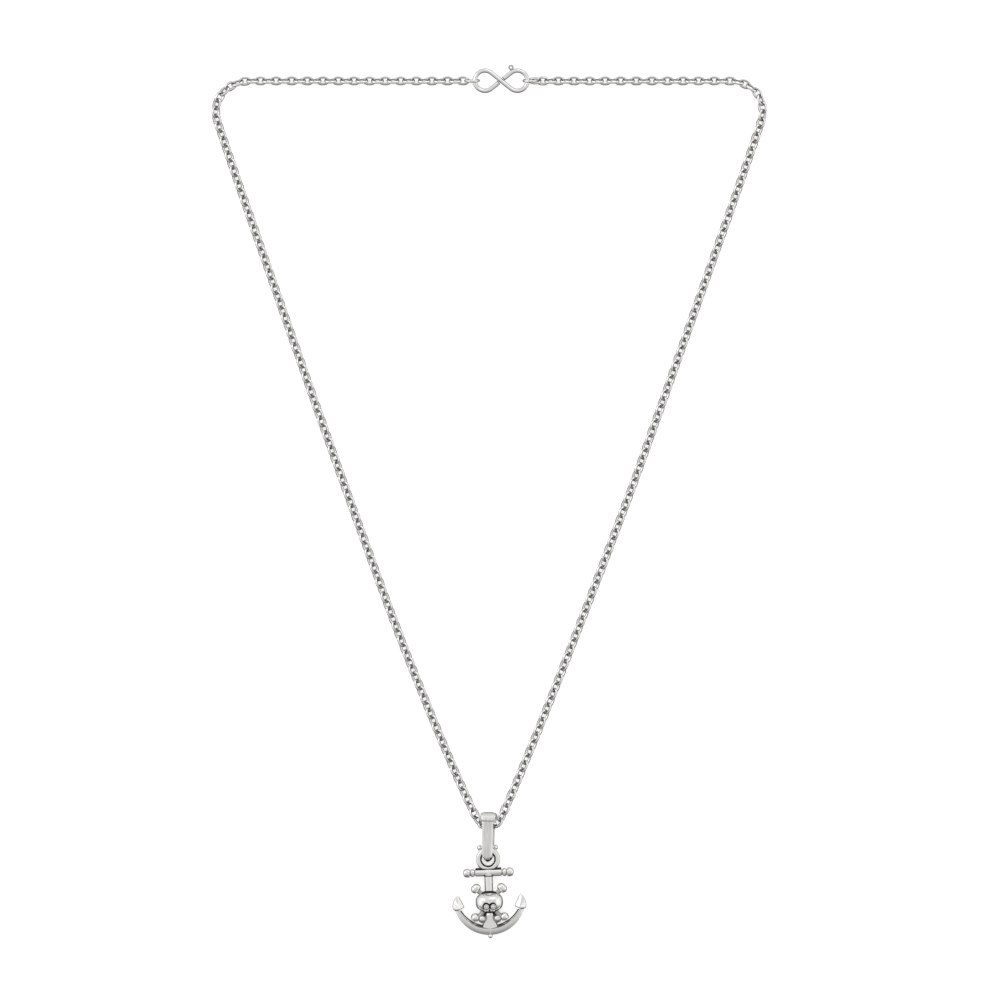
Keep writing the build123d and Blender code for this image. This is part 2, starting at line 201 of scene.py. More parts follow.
class EndRingSizes(bpy.types.PropertyGroup):
    """Sizes of the jump rings between the hook and the chain."""

    wire: length("Wire", 0.55, "Thickness of the ring's wire")
    hole: length("Hole", 2.25, "Diameter of the ring's hole")
    tilt: angle("Tilt", 7.0, "How far the ring leans from upright")
    seam: length("Seam", 0.05, "Width of the seam where the ring is closed")


class HookSizes(bpy.types.PropertyGroup):
    """Sizes of the S-shaped hook and the tiny ring soldered to it."""

    wire: length("Wire", 0.95, "Thickness of the hook's wire")
    loop_radius: length("Loop radius", 2.18, "Radius of each loop, to the middle of the wire")
    spread: length("Spread", 6.96, "Distance between the middles of the two loops")
    end_gap: length("End gap", 0.03, "Air between a cut end and the strand beside it")
    # Grey painted shade on the wire's steep sides, where a face looks up less than this share
    flank: FloatProperty(name="Flank", description="Share of the wire's sides that stays grey", default=0.5)
    tag_radius: length("Tag ring radius", 0.6, "Outer radius of the tiny ring")
    tag_hole: length("Tag ring hole", 0.24, "Radius of the tiny ring's hole")
    tag_angle: angle("Tag ring angle", 115.5, "Where the tiny ring sits round the right loop")


class BailSizes(bpy.types.PropertyGroup):
    """Sizes of the bail, a band bent into a loop."""

    foot_x: length("Foot across", -0.6, "Place of the bail's foot across the necklace")
    extent: length("Length", 10.75, "Length of the bail from foot to head")
    wall: length("Wall", 0.6, "Thickness of the band")
    width: length("Width", 3.44, "Width of the band before it is shaped")
    head_radius: length("Head radius", 1.2, "Inner radius of the head")
    foot_radius: length("Foot radius", 0.8, "Inner radius of the foot")
    lean: angle("Lean", -1.5, "Turn of the bail on the table")
    slant: angle("Slant", 7.0, "How far the front leaf leans over the back one")


class AnchorSizes(bpy.types.PropertyGroup):
    """Sizes of the cast anchor and the bones on it."""

    eye_x: length("Eye across", -0.27, "Place of the eye across the necklace")
    eye_y: length("Eye along", -76.955, "Place of the eye along the necklace")
    eye_level: length("Eye level", 1.32, "Height of the eye above the table")
    lean: angle("Lean", 1.8, "Turn of the anchor on the table")
    eye_radius: length("Eye radius", 2.6, "Outer radius of the eye")
    eye_hole: length("Eye hole", 1.355, "Radius of the hole in the eye")
    eye_thickness: length("Eye thickness", 1.2, "Thickness of the eye")
    bead_radius: length("Bead radius", 0.56, "Radius of the beads on the eye's shoulders")
    bead_angle: angle("Bead angle", 34.0, "Turn of a bead from the eye's top")
    stock_radius: length("Stock radius", 0.86, "Radius of the stock's collars")
    bar_radius: length("Bar radius", 0.8, "Radius of the stock's eight-sided bar over its corners")
    stock_bar: length("Stock bar", 5.6, "Length of the eight-sided bar")
    collar_width: length("Collar width", 0.62, "Width of a collar on the stock")
    cap_length: length("Cap length", 1.35, "Length of the cap at the stock's end")
    shank_radius: length("Shank radius", 0.9, "Radius of the shank over its corners")
    crown_height: length("Crown height", 3.3, "Height of the crown above the arms' ridge")
    crown_half: length("Crown half width", 2.1, "Half the width of the crown's foot")
    arm_drop: length("Arm drop", 16.26, "Distance from the eye's middle to the arms' lowest point")
    arm_outer: length("Arm outer radius", 7.75, "Radius of the arms' outer edge")
    arm_inner: length("Arm inner radius", 7.1, "Radius of the arms' inner edge")
    arm_width: length("Arm width", 1.96, "Width of the arms at the middle")
    arm_ridge: length("Arm ridge half", 0.9, "Half the thickness of the arms at the ridge")
    arm_rise: length("Arm rise", 5.35, "Height of the arms' ends over their lowest point")
    fluke_width: length("Fluke width", 2.62, "Width that the fluke's outline is measured in")
    fluke_height: length("Fluke height", 3.25, "Height of a fluke")
    ball_radius: length("Ball radius", 0.5, "Radius of the ball under the crown")
    bone_reach: length("Bone reach", 4.1, "Distance of the bones' upper ends from the skull's middle")
    bone_radius: length("Bone radius", 0.48, "Radius of a bone's shaft")
    bone_angle: angle("Bone angle", 46.3, "Slope of the bones' upper ends")
    knob_radius: length("Knob radius", 0.9, "Radius of the knobs at a bone's upper end")
    # Faces of the lower inner knobs that look up less than this get grey painted shade
    knob_polish: FloatProperty(name="Knob polish", description="1 leaves the inner lower knobs grey", default=0.87)
    foot_slope: angle("Lower knob slope", 11.0, "Slope of the line through two lower knobs")
    foot_knob: length("Lower knob radius", 0.93, "Radius of the knobs at a bone's lower end")


class SkullSizes(bpy.types.PropertyGroup):
    """Sizes of the skull on the shank."""

    drop: length("Drop", 9.15, "Distance of the skull's middle below the eye's")
    half_width: length("Half width", 2.92, "Half the width of the skull")
    half_height: length("Half height", 2.0, "Half the height of the cranium")
    half_depth: length("Half depth", 2.195, "Half the depth of the whole cranium")
    rise: length("Rise", 0.85, "Height of the cranium's middle over the shank's")
    jaw_width: length("Jaw width", 2.3, "Width of the jaw")
    jaw_height: length("Jaw height", 1.5, "Height of the jaw")
    teeth: IntProperty(name="Teeth", description="Grooves between the teeth", default=3, min=1)
    socket_radius: length("Socket radius", 0.68, "Radius of an eye socket")
    squareness: FloatProperty(name="Squareness", description="2 is a round skull, more is squarer", default=2.7)
    socket_spacing: length("Socket spacing", 1.5, "Distance between the sockets")
    socket_drop: length("Socket drop", 0.95, "Distance of the sockets below the skull's middle")
    nose_width: length("Nose width", 0.62, "Width of the nose")
    nose_height: length("Nose height", 0.6, "Height of the nose")


class StoneSizes(bpy.types.PropertyGroup):
    """Sizes of the two cut stones."""

    radius: length("Radius", 0.56, "Radius of the girdle")
    crown: length("Crown", 0.2, "Height of the crown")
    girdle: length("Girdle", 0.06, "Height of the girdle")
    pavilion: length("Pavilion", 0.42, "Depth of the pavilion")


class FinishColours(bpy.types.PropertyGroup):
    """Colours of the metal and the table, as sRGB values."""

    silver: colour("Silver", (0.953, 0.949, 0.941), "Colour of the polished silver")
    # This dark colour is black painted shade in recesses, gaps and under parts, partly also oxidised silver
    painted_shade_black: colour("Oxide", (0.25, 0.246, 0.242), "Colour of the blackened recesses")
    # This grey colour is grey painted shade, and also the random grey in the bail's streaks
    grey_streak_and_shade: colour("Tarnish", (0.72, 0.715, 0.71), "Colour where the metal rubs or isn't polished")
    table: colour("Table", (0.965, 0.965, 0.965), "Colour of the table")


class StudioSettings(bpy.types.PropertyGroup):
    """Camera, table and lights."""

    camera_x: length("Camera across", 2.31, "Place of the camera across the necklace")
    camera_y: length("Camera along", 0.3, "Place of the camera along the necklace")
    camera_height: length("Camera height", 2500.0, "Height of the camera over the necklace")
    view_width: length("View width", 215.15, "Width of the view at the necklace")
    table_size: length("Table size", 6000.0, "Width of the table")
    glow: FloatProperty(name="Glow", description="Light that the table gives by itself", default=0.58)
    sky: FloatProperty(name="Sky", description="Strength of the light from the walls", default=1.0)
    lamp: FloatProperty(name="Lamp", description="Strength of the soft lamps, in watts", default=0.9)


GROUPS = {
    "necklace_chain": ChainSizes,
    "necklace_rings": EndRingSizes,
    "necklace_hook": HookSizes,
    "necklace_bail": BailSizes,
    "necklace_anchor": AnchorSizes,
    "necklace_skull": SkullSizes,
    "necklace_stones": StoneSizes,
    "necklace_colours": FinishColours,
    "necklace_studio": StudioSettings,
}


def sizes_of(context, name):
    """Return a group's values and the lesser sizes that go with it, all lengths in millimetres."""
    group = getattr(context.scene, name)
    values = {}
    for item, value in DETAILS.get(name, {}).items():
        # Blender keeps a size in single precision, and a boolean can turn on its last digit
        exact = item.endswith(("_share", "_facing", "_turn", "_sweep", "_links", "seed"))
        values[item] = value if exact else Vector((value * MM, 0.0)).x / MM
    for item in type(group).__annotations__:
        value = getattr(group, item)
        values[item] = value / MM if group.bl_rna.properties[item].unit == "LENGTH" else value
    return SimpleNamespace(**values)


def linear(shade):
    """Turn an sRGB colour, a hex text or three shares, into linear red, green, blue and alpha."""
    if isinstance(shade, str):
        shade = [int(shade[place : place + 2], 16) / 255 for place in (0, 2, 4)]
    return [c / 12.92 if c <= 0.04045 else ((c + 0.055) / 1.055) ** 2.4 for c in shade] + [1.0]


def add_node(tree, kind, inputs=(), **settings):
    """Add a node, set it up, and link or set its inputs."""
    node = tree.nodes.new(kind)
    for name, value in settings.items():
        setattr(node, name, value)
    for name, value in dict(inputs).items():
        if isinstance(value, bpy.types.NodeSocket):
            tree.links.new(value, node.inputs[name])
        else:
            node.inputs[name].default_value = value
    return node


# Each finish: the constants of its shader, and its shade, a colour of the group above or a hex text. Its
# gloss is a pattern's size in millimetres, its detail, how far it strays from its middle, and the least
# and the most roughness. Each row of its relief is a pattern's size and detail, strength and depth in
# millimetres. A stretch draws the patterns out. A tint is the range of the gloss pattern over which
# grey comes in, and the most of it
METAL = {"Metallic": 1.0}
FINISHES = {
    # Drawn sterling silver wire under rhodium: bright and neutral, with faint marks from the die
    WIRE: {
        "shader": METAL, "shade": "silver", "gloss": (1.4, 2.0, 0.2, 0.09, 0.16),
        "relief": [(0.16, 3.0, 0.25, 0.008)],
    },
    # Grey silver with a softer gloss: painted shade in the links' joints and insides, on steep sides, in grooves
    # and the crease, and under knobs
    GREY: {"shader": METAL, "shade": "grey_streak_and_shade", "gloss": (0.2, 3.0, 0.2, 0.36, 0.5)},
    # Cast and polished sterling silver: a soft waviness from polishing, and fine scratches
    CAST: {
        "shader": METAL, "shade": "silver", "gloss": (0.12, 4.0, 0.15, 0.1, 0.17),
        "relief": [(1.1, 1.0, 0.35, 0.05), (0.12, 4.0, 0.2, 0.006)],
    },
    # Rolled silver strip, bent and buffed lengthwise: fine streaks run from its foot to its head, and a
    # little of the grey stays in them
    STRIP: {
        "shader": METAL, "shade": "silver", "gloss": (0.32, 3.0, 0.2, 0.26, 0.44),
        "relief": [(0.32, 3.0, 1.0, 0.06)], "stretch": (1.0, 0.04, 1.0), "tint": (0.42, 0.62, 0.35),
    },
    # Dark, duller grey silver with a mottled bloom: black painted shade in recesses, gaps and under parts, partly
    # also oxidised silver in the hollows
    BLACK: {"shader": METAL, "shade": "painted_shade_black", "gloss": (0.3, 3.0, 0.2, 0.3, 0.5)},
    # Cubic zirconia, cut and polished: clear, with strong bending of light in its facets
    GEM: {
        "shader": {"IOR": 2.16, "Transmission Weight": 1.0}, "shade": "FAFAF8",
        "gloss": (0.25, 2.0, 0.2, 0.0, 0.03),
    },
    # Matt white acrylic sheet lit from below: an even white table with hardly a shadow
    SHEET: {
        "shader": {"Roughness": 0.7, "Specular IOR Level": 0.2}, "shade": "table", "lit": True,
        "relief": [(0.8, 2.0, 0.05, 0.02)],
    },
}


def finished(name):
    """Return the finish of that name, made once."""
    if name in bpy.data.materials:
        return bpy.data.materials[name]
    finish = FINISHES[name]
    scene = bpy.context.scene
    shade = linear(getattr(scene.necklace_colours, finish["shade"], finish["shade"]))
    surface = {"Base Color": shade, **finish["shader"]}
    if "lit" in finish:
        surface |= {"Emission Color": shade, "Emission Strength": scene.necklace_studio.glow}
    material = bpy.data.materials.new(name)
    material.use_nodes = True
    tree = material.node_tree
    tree.nodes.clear()
    place = add_node(tree, "ShaderNodeTexCoord").outputs["Object"]
    if "stretch" in finish:
        drawn_out = {"Vector": place, "Scale": finish["stretch"]}
        place = add_node(tree, "ShaderNodeMapping", drawn_out).outputs["Vector"]
    if "gloss" in finish:
        size, detail, stray, least, most = finish["gloss"]
        noise = {"Vector": place, "Scale": 1 / (size * MM), "Detail": detail}
        pattern = add_node(tree, "ShaderNodeTexNoise", noise).outputs["Fac"]
        spread = {"Value": pattern, "From Min": 0.5 - stray, "From Max": 0.5 + stray}
        spread |= {"To Min": least, "To Max": most}
        surface["Roughness"] = add_node(tree, "ShaderNodeMapRange", spread).outputs["Result"]
    if "tint" in finish:
        low, high, share = finish["tint"]
        spread = {"Value": pattern, "From Min": low, "From Max": high, "To Max": share}
        grey = add_node(tree, "ShaderNodeMapRange", spread).outputs["Result"]
        shades = {0: grey, 6: shade, 7: linear(scene.necklace_colours.grey_streak_and_shade)}
        surface["Base Color"] = add_node(tree, "ShaderNodeMix", shades, data_type="RGBA").outputs[2]
    for size, detail, strength, depth in finish.get("relief", ()):
        noise = {"Vector": place, "Scale": 1 / (size * MM), "Detail": detail}
        pattern = add_node(tree, "ShaderNodeTexNoise", noise).outputs["Fac"]
        bump = {"Height": pattern, "Strength": strength, "Distance": depth * MM}
        if "Normal" in surface:
            bump["Normal"] = surface["Normal"]
        surface["Normal"] = add_node(tree, "ShaderNodeBump", bump).outputs["Normal"]
    shader = add_node(tree, "ShaderNodeBsdfPrincipled", surface)
    add_node(tree, "ShaderNodeOutputMaterial", {"Surface": shader.outputs[0]})
    return material


def edges_of(verts):
    """Return the edges that join some vertices, in the same order at every run."""
    chosen = set(verts)
    edges = dict.fromkeys(e for v in verts for e in v.link_edges)
    return [e for e in edges if e.verts[0] in chosen and e.verts[1] in chosen]


def add_outline(bm, points, closed=True):
    """Add a line of vertices and edges, and return them."""
    verts = [bm.verts.new(point) for point in points]
    pairs = list(zip(verts, verts[1:]))
    if closed:
        pairs.append((verts[-1], verts[0]))
    return verts + [bm.edges.new(pair) for pair in pairs]


def add_ring(bm, radius, sides, centre, direction):
    """Add a round wire's section, and return it."""
    turned = Vector(direction).to_track_quat("Z", "Y").to_matrix().to_4x4()
    made = bmesh.ops.create_circle(
        bm, cap_ends=False, radius=radius, segments=sides, matrix=Matrix.Translation(centre) @ turned
    )
    return made["verts"] + edges_of(made["verts"])


def turn(bm, section, centre, axis, size, steps, closed=False):
    """Sweep a section round an axis, and return its last copy."""
    made = bmesh.ops.spin(
        bm, geom=section, cent=centre, axis=axis, angle=size, steps=steps, use_merge=closed
    )
    return made["geom_last"]


def push(bm, section, offset, steps=1):
    """Sweep a section along a straight line, and return its last copy."""
    made = bmesh.ops.spin(
        bm, geom=section, cent=(0, 0, 0), axis=(0, 0, 1), angle=0.0, steps=steps,
        dvec=Vector(offset) / steps,
    )
    return made["geom_last"]


def close_up(bm, merge=MERGE):
    """Merge doubles, cap open ends and turn every face outwards."""
    bmesh.ops.remove_doubles(bm, verts=bm.verts, dist=merge)
    open_edges = [e for e in bm.edges if e.is_boundary]
    if open_edges:
        bmesh.ops.holes_fill(bm, edges=open_edges, sides=0)
    bmesh.ops.recalc_face_normals(bm, faces=bm.faces)


def trim(bm, spot, way):
    """Cut a form off at a plane, on the side that the way points to, and close it."""
    geom = bm.verts[:] + bm.edges[:] + bm.faces[:]
    bmesh.ops.bisect_plane(bm, geom=geom, plane_co=spot, plane_no=way, clear_outer=True)
    close_up(bm)


def soften(bm, edges, offset, segments=2):
    """Round some edges."""
    bmesh.ops.bevel(
        bm, geom=edges, offset=offset, offset_type="OFFSET", segments=segments, profile=0.5,
        affect="EDGES", material=-1, clamp_overlap=True,
    )


def sharp_edges(bm, least=25.0):
    """Return the edges where two faces meet at a corner of at least so many degrees."""
    return [e for e in bm.edges if len(e.link_faces) == 2 and e.calc_face_angle(0.0) > radians(least)]


def lathe(bm, profile, centre, axis, side, steps, closed=True):
    """Turn a profile of (radius, height) points about an axis."""
    axis, side = Vector(axis), Vector(side)
    points = [Vector(centre) + side * radius + axis * height for radius, height in profile]
    turn(bm, add_outline(bm, points, closed), centre, axis, 2 * pi, steps, closed=True)
    close_up(bm)


def to_mesh(bm, name="part", corner=32.0):
    """Write a bmesh to a new mesh with smooth faces and sharp corners."""
    mesh = bpy.data.meshes.new(name)
    bm.to_mesh(mesh)
    bm.free()
    mesh.shade_smooth()
    mesh.set_sharp_from_angle(angle=radians(corner))
    return mesh


def add_piece(name, bm, place, finishes, node, corner=32.0):
    """Bring a finished model to its place and to metres, as the piece that stands for a CAD node."""
    bmesh.ops.transform(bm, matrix=Matrix.Scale(MM, 4) @ place, verts=bm.verts)
    mesh = to_mesh(bm, name, corner)
    for finish in finishes:
        mesh.materials.append(finished(finish))
    piece = bpy.data.objects.new(name, mesh)
    bpy.context.scene.collection.objects.link(piece)
    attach(piece, BODY)
    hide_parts(node)
    return piece


def marked(meshes, number=1):
    """Give all faces of some meshes another of the piece's materials."""
    for mesh in meshes:
        mesh.polygons.foreach_set("material_index", [number] * len(mesh.polygons))
    return meshes


def fuse(name, parts, cutters):
    """Fuse closed meshes and cut others out of them, and return the whole, which keeps their materials."""
    base = bpy.data.objects.new(name + "_base", parts[0])
    bpy.context.scene.collection.objects.link(base)
    helpers = []
    jobs = [(part, "UNION") for part in parts[1:]] + [(cutter, "DIFFERENCE") for cutter in cutters]
    for place, (mesh, operation) in enumerate(jobs):
        helper = bpy.data.objects.new(f"{name}_part_{place}", mesh)
        bpy.context.scene.collection.objects.link(helper)
        helpers.append(helper)
        modifier = base.modifiers.new(f"join_{place}", "BOOLEAN")
        modifier.object = helper
        modifier.operation = operation
        modifier.solver = "MANIFOLD"
        modifier.material_mode = "INDEX"
    bpy.context.view_layer.update()
    graph = bpy.context.evaluated_depsgraph_get()
    mesh = bpy.data.meshes.new_from_object(base.evaluated_get(graph), depsgraph=graph)
    for helper in [base, *helpers]:
        old = helper.data
        bpy.data.objects.remove(helper)
        bpy.data.meshes.remove(old)
    if not mesh.polygons:
        raise RuntimeError(f"{name} came out empty")
    bm = bmesh.new()
    bm.from_mesh(mesh)
    bpy.data.meshes.remove(mesh)
    return bm


def between(table, place):
    """Read a table of (place, value) rows at a place, with straight lines between the rows."""
    for (before, low), (after, high) in zip(table, table[1:]):
        if place <= after:
            return low + (high - low) * max(0.0, (place - before) / (after - before))
    return table[-1][1]


def route_line(points):
    """Return close points along the smooth line of a route."""
    curve = bpy.data.curves.new("chain_route", "CURVE")
    curve.dimensions = "3D"
    spline = curve.splines.new("NURBS")
    spline.points.add(len(points) - 1)
    for knot, point in zip(spline.points, points):
        knot.co = (*point, 1.0)
    spline.order_u = 3
    spline.use_endpoint_u = True
    spline.resolution_u = 64
    holder = bpy.data.objects.new("chain_route", curve)
    mesh = bpy.data.meshes.new_from_object(holder)
    line = [v.co.copy() for v in mesh.vertices]
    bpy.data.objects.remove(holder)
    bpy.data.curves.remove(curve)
    bpy.data.meshes.remove(mesh)
    return line


def along(line):
    """Return a function that gives the point at a distance along a line, and the line's length."""
    marks = [0.0]
    for before, after in zip(line, line[1:]):
        marks.append(marks[-1] + (after - before).length)

    def point_at(distance):
        high = min(bisect_right(marks, distance), len(marks) - 1)
        share = (distance - marks[high - 1]) / (marks[high] - marks[high - 1])
        return line[high - 1].lerp(line[high], share)

    return point_at, marks[-1]


def oval_point(reach, fullness, way):
    """Return a point on an oval, and the direction outwards there."""
    power = 2 / fullness
    shares = [copysign(abs(share) ** power, share) for share in (cos(way), sin(way))]
    slopes = [copysign(abs(share) ** (2 - power), share) for share in (cos(way), sin(way))]
    point = Vector((reach.x * shares[0], reach.y * shares[1], 0))
    return point, Vector((slopes[0] / reach.x, slopes[1] / reach.y, 0)).normalized()


def link_mesh(sizes):
    """Model one link, along X and flat in the XY plane."""
    bm = bmesh.new()
    section = add_ring(bm, sizes.wire / 2, sizes.wire_sides, (1, 0, 0), (0, 1, 0))
    turn(bm, section, (0, 0, 0), (0, 0, 1), 2 * pi, sizes.link_sides, closed=True)
    # The round ring is drawn out to the link's oval
    reach = Vector(((sizes.pitch + sizes.wire + sizes.play) / 2, (sizes.width - sizes.wire) / 2))
    for vert in bm.verts:
        point, outwards = oval_point(reach, sizes.fullness, atan2(vert.co.y, vert.co.x))
        vert.co = point + outwards * (vert.co.xy.length - 1) + Vector((0, 0, vert.co.z))
    bmesh.ops.recalc_face_normals(bm, faces=bm.faces)
    # The links' ends, where they overlap, and their insides get grey painted shade
    for face in bm.faces:
        middle = face.calc_center_median()
        inwards = -Vector((middle.x, middle.y, 0)).normalized()
        at_end = abs(middle.x) > reach.x / 2 and abs(middle.y) < sizes.shaded_end_width / 2
        face.material_index = int(at_end or face.normal.dot(inwards) > sizes.inside_facing)
    mesh = bpy.data.meshes.new("link")
    bm.to_mesh(mesh)
    bm.free()
    return mesh


class NECKLACE_OT_chain(bpy.types.Operator):
    """Make the cable chain: interlocked links along its route, from one end ring to the other"""

    bl_idname = "necklace.chain"
    bl_label = "Cable chain"

    def execute(self, context):
        sizes = sizes_of(context, "necklace_chain")
        point_at, route_length = along(route_line(CHAIN_ROUTE))
        # The first link and the last but one both lie flat, so their number is even
        count = 2 * round(route_length / sizes.pitch / 2)
        sizes.pitch = route_length / count
        link = link_mesh(sizes)
        chance = random.Random(sizes.seed)
        drift = 0.0
        rolls = []
        for place in range(count):
            drift = sizes.calm_share * drift + chance.uniform(-1, 1) * sizes.unrest
            # The links at both ends are held still by the rings
            slack = min(1.0, place / sizes.held_links, (count - 1 - place) / sizes.held_links)
            roll = radians(between(CHAIN_ROLLS, place * sizes.pitch))
            rolls.append(roll + place % 2 * sizes.twist + slack * drift)
        # Height of a link's middle when it lies on the table, rolled as it is
        half = (sizes.width - sizes.wire) / 2
        rests = [sizes.wire / 2 + half * max(abs(sin(roll)), abs(cos(roll))) + CLEAR for roll in rolls]
        joints = []
        for place in range(count + 1):
            joint = point_at(place * sizes.pitch)
            joint.z = max([joint.z, *rests[max(0, place - 1) : place + 1]])
            joints.append(joint)
        bm = bmesh.new()
        for start, end, roll in zip(joints, joints[1:], rolls):
            along_link = (end - start).normalized()
            across = Vector((0, 0, 1)).cross(along_link).normalized()
            axes = Matrix((along_link, across, along_link.cross(across))).transposed().to_4x4()
            spot = Matrix.Translation((start + end) / 2)
            old = set(bm.verts)
            bm.from_mesh(link)
            fresh = [v for v in bm.verts if v not in old]
            bmesh.ops.transform(bm, matrix=spot @ axes @ Matrix.Rotation(roll, 4, "X"), verts=fresh)
        bpy.data.meshes.remove(link)
        add_piece("chain_links", bm, Matrix.Identity(4), [WIRE, GREY], "chain", corner=60.0)
        return {"FINISHED"}


class NECKLACE_OT_end_rings(bpy.types.Operator):
    """Make the two jump rings that join the chain to the hook, each with its seam"""

    bl_idname = "necklace.end_rings"
    bl_label = "End rings"

    def execute(self, context):
        sizes = sizes_of(context, "necklace_rings")
        radius = (sizes.hole + sizes.wire) / 2
        reach = radius + sizes.wire / 2
        # The seam lies below, where the ring rests on the table
        lean = Matrix.Rotation(sizes.tilt, 4, "X") @ Matrix.Rotation(sizes.seam_turn, 4, "Y")
        for side in ("left", "right"):
            low, high = (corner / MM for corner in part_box(f"end_ring_{side}"))
            # The side inside the hook keeps its place
            across = high.x - reach if side == "left" else low.x + reach
            centre = Vector((across, (low.y + high.y) / 2, reach))
            bm = bmesh.new()
            section = add_ring(bm, sizes.wire / 2, 14, (0, 0, radius), (1, 0, 0))
            turn(bm, section, (0, 0, 0), (0, 1, 0), 2 * pi - sizes.seam / radius, 48)
            close_up(bm, sizes.seam / 4)
            soften(bm, sharp_edges(bm, 60.0), sizes.seam / 2)
            place = Matrix.Translation(centre) @ lean
            add_piece(f"jump_ring_{side}", bm, place, [WIRE], f"end_ring_{side}")
        return {"FINISHED"}


class NECKLACE_OT_hook(bpy.types.Operator):
    """Make the S-shaped hook, a wire bent to two loops, and the tiny ring soldered to it"""

    bl_idname = "necklace.hook"
    bl_label = "S hook"

    def execute(self, context):
        sizes = sizes_of(context, "necklace_hook")
        half_wire = sizes.wire / 2
        low, high = (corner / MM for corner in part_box("clasp_hook"))
        middle = Vector(((low.x + high.x) / 2, low.y + sizes.loop_radius + half_wire, (low.z + high.z) / 2))
        half_spread = sizes.spread / 2
        slope = asin(sizes.loop_radius / half_spread)
        reach = sqrt(half_spread**2 - sizes.loop_radius**2)
        end_reach = (half_wire * (1 + cos(2 * slope)) + sizes.end_gap) / sin(2 * slope)
        side = Vector((cos(slope), sin(slope), 0))
        other = Vector((cos(slope), -sin(slope), 0))
        arc = pi + 2 * slope
        bm = bmesh.new()
        section = add_ring(bm, half_wire, 24, -end_reach * side, side)
        section = push(bm, section, (end_reach - reach) * side, 4)
        section = turn(bm, section, (-half_spread, 0, 0), (0, 0, -1), arc, 48)
        section = push(bm, section, 2 * reach * other, 12)
        section = turn(bm, section, (half_spread, 0, 0), (0, 0, 1), arc, 48)
        push(bm, section, (end_reach - reach) * side, 4)
        close_up(bm)
        soften(bm, sharp_edges(bm, 60.0), sizes.end_round, 4)
        # Black painted shadow on the cut ends and just beside them, where the wires meet, and grey painted shade
        # on the wire's steep sides
        for face in bm.faces:
            spot = face.calc_center_median()
            down = abs(spot.dot(side))
            beside = (spot - spot.dot(side) * side).length
            at_end = end_reach - MERGE < down < end_reach + sizes.end_dark and beside < half_wire + MERGE
            face.material_index = 1 if at_end else 2 * (abs(face.normal.z) < sizes.flank)
        # The tiny ring
        tag = bmesh.new()
        tag_wire = (sizes.tag_radius - sizes.tag_hole) / 2
        tag_reach = sizes.loop_radius + half_wire + sizes.tag_radius - sizes.tag_sink
        centre = Vector((tag_reach * cos(sizes.tag_angle), tag_reach * sin(sizes.tag_angle), 0))
        centre.x += half_spread
        wire_middle = centre + Vector((sizes.tag_radius - tag_wire, 0, 0))
        section = add_ring(tag, tag_wire, 14, wire_middle, (0, 1, 0))
        turn(tag, section, centre, (0, 0, 1), 2 * pi, 32, closed=True)
        close_up(tag)
        # The tiny ring is all grey painted shade
        bm = fuse("s_hook", [to_mesh(bm)] + marked([to_mesh(tag)], 2), [])
        add_piece("s_hook", bm, Matrix.Translation(middle), [WIRE, BLACK, GREY], "clasp_hook")
        return {"FINISHED"}


class NECKLACE_OT_bail(bpy.types.Operator):
    """Make the bail: a tapered band bent into a long loop, creased below its head"""

    bl_idname = "necklace.bail"
    bl_label = "Bail"

    def execute(self, context):
        sizes = sizes_of(context, "necklace_bail")
        wall = sizes.wall
        foot = Vector((0, sizes.foot_radius + wall, sizes.foot_radius + wall))
        head = Vector((0, sizes.extent - sizes.head_radius - wall, sizes.head_radius + wall))
        apart = head - foot
        rise = 2 * atan2(apart.z, apart.y)
        # The band's section, with its half width as 1
        outside = 1 - 2 * sizes.face_bevel / sizes.width
        inside = 1 - 2 * sizes.inner_bevel / sizes.width
        columns = 8
        across = [2 * column / columns - 1 for column in range(columns + 1)]
        outline = [(-1, sizes.bevel_depth)]
        outline += [(outside * x, 0) for x in across]
        outline += [(1, sizes.bevel_depth), (1, wall - sizes.inner_bevel)]
        outline += [(inside * x, wall) for x in reversed(across)]
        outline += [(-1, wall - sizes.inner_bevel)]
        # The back leaf, the head, the front leaf with the crease's three lines, and the foot
        bm = bmesh.new()
        section = add_outline(bm, [(x, foot.y, z) for x, z in outline])
        section = push(bm, section, (0, head.y - foot.y, 0), 24)
        section = turn(bm, section, head, (1, 0, 0), pi + rise, 40)
        back = -Vector((0, cos(rise), sin(rise)))
        run = sqrt(apart.length_squared - (sizes.head_radius - sizes.foot_radius) ** 2)
        marks = [sizes.crease_drop - sizes.crease_half, sizes.crease_half, sizes.crease_half]
        for step in marks:
            section = push(bm, section, back * step)
        section = push(bm, section, back * (run - sum(marks)), 24)
        turn(bm, section, foot, (1, 0, 0), pi - rise, 32)
        close_up(bm)
        # The crease is pressed into the outside of the front leaf
        top = 2 * (sizes.head_radius + wall)
        crease_y = head.y - sizes.crease_drop * cos(rise) - top / 2 * sin(rise)
        for vert in bm.verts:
            if vert.co.z > top - wall and abs(vert.co.y - crease_y) < sizes.crease_half / 2:
                vert.co.z -= sizes.crease_depth
        # Painted shade: grey in the crease, and black under the foot's lower end
        crease_reach = sizes.crease_share * sizes.crease_half
        for face in bm.faces:
            middle = face.calc_center_median()
            in_crease = middle.z > top - wall and abs(middle.y - crease_y) < crease_reach
            under = face.normal.z < sizes.foot_facing and middle.y < sizes.foot_dark
            face.material_index = 1 if under else 2 * in_crease
        for vert in bm.verts:
            vert.co.x *= between(BAIL_OUTLINE, vert.co.y / sizes.extent) * sizes.width / 2
            vert.co.x += (top - vert.co.z) * tan(sizes.slant)
        spot = Matrix.Translation((sizes.foot_x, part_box("bail")[0].y / MM, 0))
        place = spot @ Matrix.Rotation(sizes.lean, 4, "Z")
        add_piece("bail_band", bm, place, [STRIP, BLACK, GREY], "bail")
        return {"FINISHED"}


def ball(radius, centre):
    """Model a ball."""
    bm = bmesh.new()
    spot = Matrix.Translation(centre)
    bmesh.ops.create_uvsphere(bm, u_segments=24, v_segments=12, radius=radius, matrix=spot)
    return to_mesh(bm)


